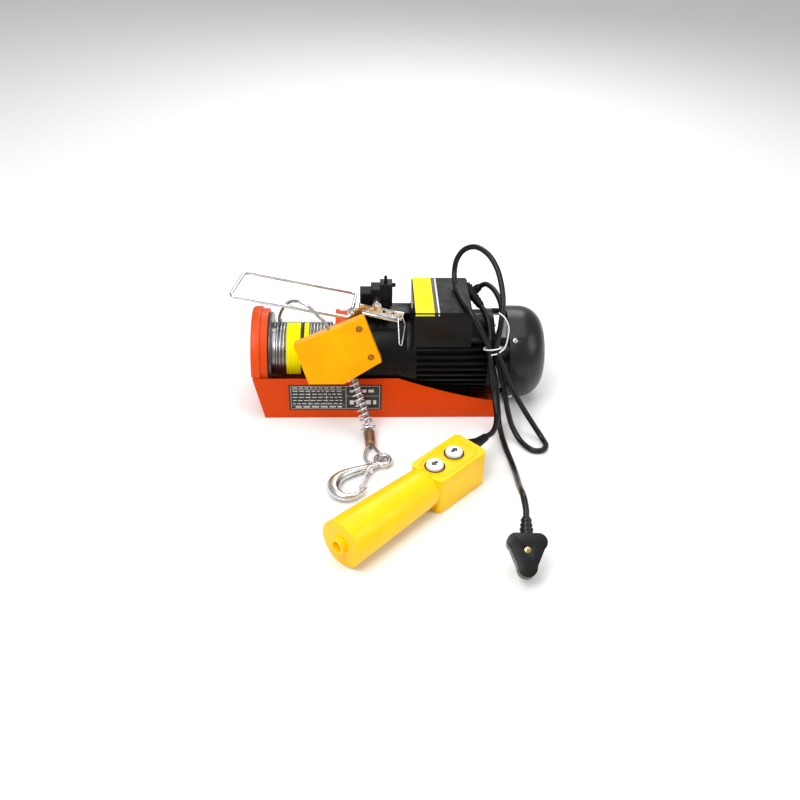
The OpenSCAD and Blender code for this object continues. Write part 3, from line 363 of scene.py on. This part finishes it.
def sweep(path, ring, closed=False):
    """Vertices and faces of a section carried along a path. ring(i, t) gives the section's (u, v) points."""
    n = len(path)
    verts, faces = [], []
    normal = None
    for i, p in enumerate(path):
        a = path[(i - 1) % n] if closed or i > 0 else p
        b = path[(i + 1) % n] if closed or i < n - 1 else p
        d = (b - a).normalized()
        if normal is None:
            normal = EZ - EZ.dot(d) * d
            if normal.length < 0.1:
                normal = EX - EX.dot(d) * d
        else:
            normal = normal - normal.dot(d) * d
        normal.normalize()
        other = d.cross(normal)
        section = ring(i, i / max(n - 1, 1))
        verts += [p + u * normal + v * other for u, v in section]
    k = len(verts) // n
    for i in range(n if closed else n - 1):
        j = (i + 1) % n
        faces += [(i * k + q, i * k + (q + 1) % k, j * k + (q + 1) % k, j * k + q) for q in range(k)]
    if not closed:
        faces.append(tuple(range(k - 1, -1, -1)))
        faces.append(tuple((n - 1) * k + q for q in range(k)))
    return verts, faces


def circle(r, count):
    return [(r * math.cos(math.tau * q / count), r * math.sin(math.tau * q / count)) for q in range(count)]


def prism(outline, low, high):
    """Vertices and faces between two copies of an outline."""
    n = len(outline)
    return ([p + low for p in outline] + [p + high for p in outline],
            [(k, (k + 1) % n, n + (k + 1) % n, n + k) for k in range(n)]
            + [tuple(range(n - 1, -1, -1)), tuple(range(n, 2 * n))])


def circle_ring(r, sides):
    """Round section for sweep."""
    section = circle(r, sides)
    return lambda i, t: section


def strand_ring(r, step, lay=27.0, sides=18):
    """Section of a six-strand rope, turned a little more at each step along it."""
    def ring(i, t):
        twist = math.tau * i * step / lay
        out = []
        for q in range(sides):
            a = math.tau * q / sides
            lobe = abs(math.cos(3 * a))
            rr = r * (0.86 + 0.14 * lobe ** 0.6)
            out.append((rr * math.cos(a + twist), rr * math.sin(a + twist)))
        return out
    return ring


def piece(name, parts, body, slot, replaces=(), material=None, angle=32):
    """One object from several (vertices, faces) parts."""
    verts, faces = [], []
    for v, f in parts:
        base = len(verts)
        verts += v
        faces += [tuple(base + q for q in face) for face in f]
    return finish_mesh(name, mesh_from(name, verts, faces), body, slot, replaces, material, angle)


def axis_point(x, r, angle):
    """Point at a radius and an angle about the hoist's axis."""
    return Vector((x, r * math.sin(angle), AXIS_H + r * math.cos(angle)))


def lathe(profile, segments=96):
    """A closed profile of (x, radius) points turned about the hoist's axis."""
    verts = [axis_point(x, r, math.tau * q / segments) for x, r in profile for q in range(segments)]
    faces = []
    for i in range(len(profile)):
        j = (i + 1) % len(profile)
        faces += [(i * segments + q, i * segments + (q + 1) % segments, j * segments + (q + 1) % segments,
                   j * segments + q) for q in range(segments)]
    return verts, faces


# Nodes that nothing replaces show as they are, so every node gets its material
for cad_node, obj in frame["nodes"].items():
    obj.data.materials.clear()
    obj.data.materials.append(MATS[SLOT_OF[cad_node]])


def cord_piece(node, route, ring, step, slot_name, diameter, with_pieces, **facts):
    """A rope or lead swept along its route."""
    path = spline(route, step)
    obj = piece(node + ".shape", [sweep(path, ring)], BODY_OF[node], slot_name, [node], angle=50)


plug_parts = [from_cad("plug_body", 0.7, 3), from_cad("plug_pins", 0.3)]
rope_eye_route = [FERRULE_END + Vector((-2.2, 0, 0)), (-24.6, -142, 5.2), (-24.2, -153, 2.6), (-18.5, -159.5, 2.1),
                  (-11, -161, 2.1), (-6.2, -160.6, 3.6), (-4.2, -160, 7.4), (-4.6, -158.6, 11.2), (-7, -155, 13),
                  (-10.5, -148, 12.8), (-13.2, -140, 10.6), FERRULE_END + Vector((2.2, 0, 0))]
EYE_STEP, ROPE_STEP, LEAD_STEP = 0.8, 1.0, 2.5
rope_eye = piece("rope_eye.shape", [sweep(spline(rope_eye_route, EYE_STEP), strand_ring(ROPE_D / 2, EYE_STEP))],
                 "frame", "rope_wire", ["rope_eye"], angle=50)
ferrule = from_cad("rope_ferrule", 0.5, 3)
lead_ring = circle_ring(LEAD_D / 2, 20)
cord_piece("rope_free", ROPE_ROUTE, strand_ring(ROPE_D / 2, ROPE_STEP), ROPE_STEP, "rope_wire", ROPE_D,
           [ferrule, rope_eye], far_end="fitting", stiffness="stiff", lay="loose")
cord_piece("power_cord", POWER_ROUTE, lead_ring, LEAD_STEP, "cord_rubber", LEAD_D, plug_parts,
           far_end="plug", stiffness="medium", lay="loose")
tie = from_cad("cord_tie", 0)
cord_piece("control_cord", CONTROL_ROUTE, lead_ring, LEAD_STEP, "cord_rubber", LEAD_D, [tie],
           far_end="object", stiffness="medium", lay="loose")

# ---------------------------------------------------------------- wound rope and its label
BARREL_X0, BARREL_X1 = -143.5, -62.0
WOUND_R, WOUND_CENTRE_R = 39.5, 37.5
WRAPS, STEPS = 19, 110
FIRST_WRAP = BARREL_X0 + 0.3
PITCH = (BARREL_X1 - BARREL_X0 - 0.4) / WRAPS
helix = [axis_point(FIRST_WRAP + PITCH * (0.5 + i / STEPS), WOUND_CENTRE_R, math.tau * i / STEPS)
         for i in range((WRAPS - 1) * STEPS + 1)]
CORE_X0, CORE_X1, CORE_IN, CORE_OUT = BARREL_X0 + 0.2, BARREL_X1 - 0.2, 27.5, 36.4
core = lathe([(CORE_X0, CORE_IN), (CORE_X0, CORE_OUT), (CORE_X1, CORE_OUT), (CORE_X1, CORE_IN)])
wound_ring = strand_ring(1.98, math.tau * WOUND_CENTRE_R / STEPS, 27, 14)
piece("wound_rope.shape", [sweep(helix, wound_ring), core], "drum", "rope_wire", ["wound_rope"], angle=60)


def label_band(name, x0, x1, material, replaces=()):
    """Sticker over the wraps, dipping a little between them."""
    rows, columns = 24, 60
    verts = []
    for i in range(rows + 1):
        x = x0 + (x1 - x0) * i / rows
        r = WOUND_R + 0.42 - 0.22 * math.cos(math.tau * (x - FIRST_WRAP) / PITCH)
        verts += [axis_point(x, r, math.radians(12 - 116 * k / columns)) for k in range(columns + 1)]
    n = columns + 1
    faces = [(i * n + k, i * n + k + 1, (i + 1) * n + k + 1, (i + 1) * n + k)
             for i in range(rows) for k in range(columns)]
    piece(name, [(verts, faces)], "drum", "label_yellow", replaces, material)


label_band("rope_label.shape", -125, -107, MATS["label_yellow"], ["rope_label"])
label_band("rope_label_stripe", -107, -102, PRINT_BLACK)
label_band("rope_label_end", -102, -96, MATS["label_yellow"])


# ---------------------------------------------------------------- bail, spring, hook
def rounded(corners, cut):
    """Closed path through the corners, each rounded off over a cut to either side."""
    out = []
    for i, corner in enumerate(corners):
        p = Vector(corner)
        a = p + cut * (Vector(corners[i - 1]) - p).normalized()
        b = p + cut * (Vector(corners[(i + 1) % len(corners)]) - p).normalized()
        out += [(1 - t) ** 2 * a + 2 * t * (1 - t) * p + t * t * b for t in (k / 8 for k in range(9))]
    return out


BAIL = [(-43, -35, 134.5), (-35, 30, 133), (-177, 30, 164), (-190, -35, 165.5)]
piece("limit_bail.shape", [sweep(rounded(BAIL, 8), circle_ring(2.4, 20), closed=True)], "limit_arm", "zinc",
      ["limit_bail"], angle=50)

SPRING_WIRE, SPRING_R = 1.15, 7.75  # Radius of its wire, and of its outside
SPRING_TURNS, SPRING_STEPS = 9, 36
BLOCK_GAP, WASHER_GAP = 2.4, 5.2
spring_from = ROPE_OUT + (BLOCK_GAP + SPRING_WIRE) * SPRING_DIR
spring_len = (WASHER_AT - spring_from).length - WASHER_GAP
spring_side = SPRING_DIR.cross(EZ).normalized()
spring_up = SPRING_DIR.cross(spring_side)
coil = []
for i in range(SPRING_TURNS * SPRING_STEPS + 1):
    turn = math.tau * i / SPRING_STEPS
    outward = math.cos(turn) * spring_side + math.sin(turn) * spring_up
    along = spring_len * i / (SPRING_TURNS * SPRING_STEPS)
    coil.append(spring_from + SPRING_DIR * along + (SPRING_R - SPRING_WIRE) * outward)
piece("buffer_spring.shape", [sweep(coil, circle_ring(SPRING_WIRE, 12))], "frame", "zinc", ["buffer_spring"],
      angle=50)

HOOK_AT, HOOK_TURN = Vector((-3.4, -160, 7.4)), Matrix.Rotation(math.radians(141.5), 3, "Z")
# Centre line of the hook: x, y, width, thickness
HOOK_LINE = [(0.6, 11, 7.6, 6.2), (4.6, 20, 8.6, 8), (10.5, 31, 9, 9), (16.8, 43, 9.6, 10), (21, 55, 10.8, 11),
             (20.6, 66, 12.4, 12), (15.5, 75.5, 14.4, 12.6), (6, 82, 16, 12.6), (-4, 82, 15.4, 12.6),
             (-11.5, 76.5, 13, 12), (-15, 68.5, 10.4, 10.4), (-16.3, 60.5, 8, 8.4), (-16.6, 54.5, 5.4, 6),
             (-16.6, 52.6, 2.4, 3)]
centre = spline([HOOK_AT + HOOK_TURN @ Vector((x, y, 0)) for x, y, w, t in HOOK_LINE], 1.2)
# Widths and thicknesses smoothed the same way, as points 4 mm apart along Z
sizes = spline([Vector((w, t, 4.0 * i)) for i, (x, y, w, t) in enumerate(HOOK_LINE)], 0.5)


def hook_ring(i, t):
    size = sizes[round(t * (len(sizes) - 1))]
    return [(size.y / 2 * u, size.x / 2 * v) for u, v in circle(1, 28)]


HOOK_EYE_R, HOOK_EYE_WIRE, BOSS_R, BOSS_HALF = 8.6, 3.1, 4, 4.2
eye_ring = [HOOK_AT + Vector((u, v, 0)) for u, v in circle(HOOK_EYE_R, 56)]
pivot = HOOK_AT + HOOK_TURN @ Vector((2, 23, 0))
boss = prism([pivot + Vector((u, v, 0)) for u, v in circle(BOSS_R, 40)], -BOSS_HALF * EZ, BOSS_HALF * EZ)
piece("hook.shape", [sweep(centre, hook_ring), sweep(eye_ring, circle_ring(HOOK_EYE_WIRE, 20), closed=True), boss],
      "load_hook", "zinc", ["hook"], angle=40)


# ---------------------------------------------------------------- prints and plates
def slab(lo, hi):
    """Vertices and faces of a box between two corners."""
    corners = [Vector((x, y, z)) for x in (lo[0], hi[0]) for y in (lo[1], hi[1]) for z in (lo[2], hi[2])]
    return corners, [(0, 1, 3, 2), (4, 6, 7, 5), (0, 4, 5, 1), (2, 3, 7, 6), (0, 2, 6, 4), (1, 5, 7, 3)]


LID_TOP, LID_FRONT, LID_BACK, PRINT = 147.8, -46.7, 46.7, 0.14


def lid_band(name, x0, x1, material):
    """Band of the lid's label, folded down over its front edge."""
    top = slab((x0, LID_FRONT + 1.0, LID_TOP), (x1, LID_BACK - 1.4, LID_TOP + PRINT))
    flap = slab((x0, LID_FRONT - PRINT, LID_TOP - 3.8), (x1, LID_FRONT, LID_TOP - 1.7))
    piece(name, [top, flap], "frame", "label_yellow", (), material)


lid_band("lid_label", 38.4, 62, MATS["label_yellow"])
lid_band("lid_label_stripe", 62, 66.5, PRINT_BLACK)
lid_band("lid_label_line", 66.5, 68.5, PRINT_WHITE)

PLATE_Y = -63.0
marks = []  # Each as its lower left and upper right corner on the plate


def word_bars(x0, x1, z, height, longest, gap):
    """A row of plain bars that stands for a line of print."""
    x, seed = x0, z
    while x < x1 - 2:
        width = min(longest * (0.45 + 0.55 * abs(math.sin(seed * 12.9))), x1 - x)
        marks.append(((x, z - height / 2), (x + width, z + height / 2)))
        x, seed = x + width + gap, seed + 1


for row in range(6):
    word_bars(-117, -52, 47.4 - 4.9 * row, 1.1, 6.5, 2.0)
word_bars(-114, -54, 17.6, 1.9, 9, 2.4)
word_bars(-44, -10, 42.4, 4.2, 7, 2.6)
word_bars(-44, -10, 24.6, 6.5, 11, 3.0)
# Frame lines and column lines: left, right, bottom, top
for x0, x1, z0, z1 in ((-119.6, -119.2, 15, 49.8), (-49, -48.5, 15, 49.8), (-5.8, -5.4, 15, 49.8),
                       (-96, -95.7, 20.5, 44.8), (-74, -73.7, 20.5, 44.8), (-119.6, -5.4, 49.5, 49.9),
                       (-119.6, -5.4, 14.8, 15.2), (-119.6, -48.5, 44.8, 45.1), (-119.6, -48.5, 20.3, 20.6),
                       (-48.5, -5.4, 34.2, 34.6)):
    marks.append(((x0, z0), (x1, z1)))
piece("rating_plate_print", [slab((a[0], PLATE_Y - 0.08, a[1]), (b[0], PLATE_Y + 0.02, b[1])) for a, b in marks],
      "frame", "plate_print", (), PRINT_WHITE)


# ---------------------------------------------------------------- handset details
BUTTONS = {"button_down": (161, -1), "button_up": (194.5, 1)}  # Place along the handset, and way of its arrow
CAP_TOP, PANEL_TOP = 54.15, 49.7
ARROW = [(-4.4, -2.0), (0.4, -2.0), (0.4, -4.6), (5.6, 0), (0.4, 4.6), (0.4, 2.0), (-4.4, 2.0)]
for cap, (x, way) in BUTTONS.items():
    outline = [handset_point(x + u * way, v, CAP_TOP) for u, v in ARROW]
    piece(cap + "_arrow", [prism(outline, 0 * EZ, 0.17 * EZ)], BODY_OF[cap], "white_plastic", (), PRINT_BLACK)
    # Thin black ring round each button at the panel: painted shadow in the gap round the button
    ring_path = [handset_point(x + u, v, PANEL_TOP) for u, v in circle(11.4, 64)]
    piece(cap + "_shadow_ring", [sweep(ring_path, circle_ring(0.75, 12), closed=True)], "frame", "black_plastic")

# Raised rim round the buttons' panel, a rounded rectangle
RIM_AT, RIM_LONG, RIM_WIDE, RIM_Z = 185, 34, 18.5, 47.9
rim = [handset_point(RIM_AT + RIM_LONG * math.copysign(abs(u) ** 0.4, u),
                     RIM_WIDE * math.copysign(abs(v) ** 0.4, v), RIM_Z) for u, v in circle(1, 96)]
piece("panel_rim", [sweep(rim, circle_ring(1.2, 12), closed=True)], "frame", "handset_yellow", angle=50)

# Loose tail of the tie
TAIL = [(133.0, -69.0, 100.5), (142.3, -66, 101.6), (150, -63, 107.7), (152.9, -62, 121.1), (152.8, -62, 137.1),
        (147, -62, 150.6), (139, -62, 157.7)]
piece("tie_tail", [sweep(spline(TAIL, 1.0), circle_ring(0.9, 10))], "frame", "white_plastic", angle=50)

# ---------------------------------------------------------------- CAD nodes with softened edges
BEVELS = {"base_pan": 0.5, "end_cover": 1.0, "gearbox_housing": 0.8, "bearing_plate": 0.4, "motor_housing": 0.45,
          "end_shield": 0.5, "fan_cover": 0.5, "terminal_box": 0.8, "terminal_lid": 0.7, "block_front": 1.0,
          "block_rear": 1.0, "handset_upper": 1.4, "handset_lower": 1.4, "handset_gland": 0.5, "cord_glands": 0.5,
          "switch_bracket": 0.4, "limit_switch": 0.6, "lever_pivot": 0.4, "limit_lever": 0.35, "spring_washer": 0.4,
          "case_screws": 0.3, "block_screws": 0.4, "switch_plunger": 0.4, "rating_plate": 0.1, "button_up": 0.6,
          "button_down": 0.6, "drum_left_flange": 0.6, "drum_right_flange": 0.8, "hook_latch": 0.25}
WIDE_BEVEL = 0.55  # Wider ones get three segments
for cad_node, width in BEVELS.items():
    from_cad(cad_node, width, 3 if width > WIDE_BEVEL else 2, SCREW_AMBER if cad_node == "block_screws" else None)

# ---------------------------------------------------------------- floor and light
bpy.ops.mesh.primitive_plane_add(size=30, location=(0, 0, -0.0002))  # Just under the pan's underside
floor = bpy.context.object
floor.name = "floor"
floor_mat = Shader("floor_paper")
floor_mat.set(Base_Color=(0.9, 0.9, 0.9, 1), Roughness=0.9)
floor.data.materials.append(floor_mat.mat)
world = bpy.data.worlds.new("studio")
world.use_nodes = True
background = world.node_tree.nodes["Background"]
background.inputs["Color"].default_value = (1, 1, 1, 1)
background.inputs["Strength"].default_value = 0.42
bpy.context.scene.world = world
bpy.context.scene.view_settings.view_transform = "Standard"


def area_light(name, at, target, size, power):
    data = bpy.data.lights.new(name, "AREA")
    data.size = size
    data.energy = power
    light = bpy.data.objects.new(name, data)
    bpy.context.scene.collection.objects.link(light)
    light.location = at
    light.rotation_mode = "QUATERNION"
    light.rotation_quaternion = (Vector(target) - Vector(at)).to_track_quat("-Z", "Y")


area_light("key", (-0.6, -0.9, 1.5), (0, -0.1, 0.05), 0.9, 18)
area_light("fill", (1.2, -0.6, 0.9), (0, 0, 0.1), 0.8, 6)
area_light("rim", (0.2, 1.2, 1.1), (0, 0, 0.1), 0.8, 8)
area_light("top", (0, 0, 1.9), (0, 0, 0), 1.6, 15)
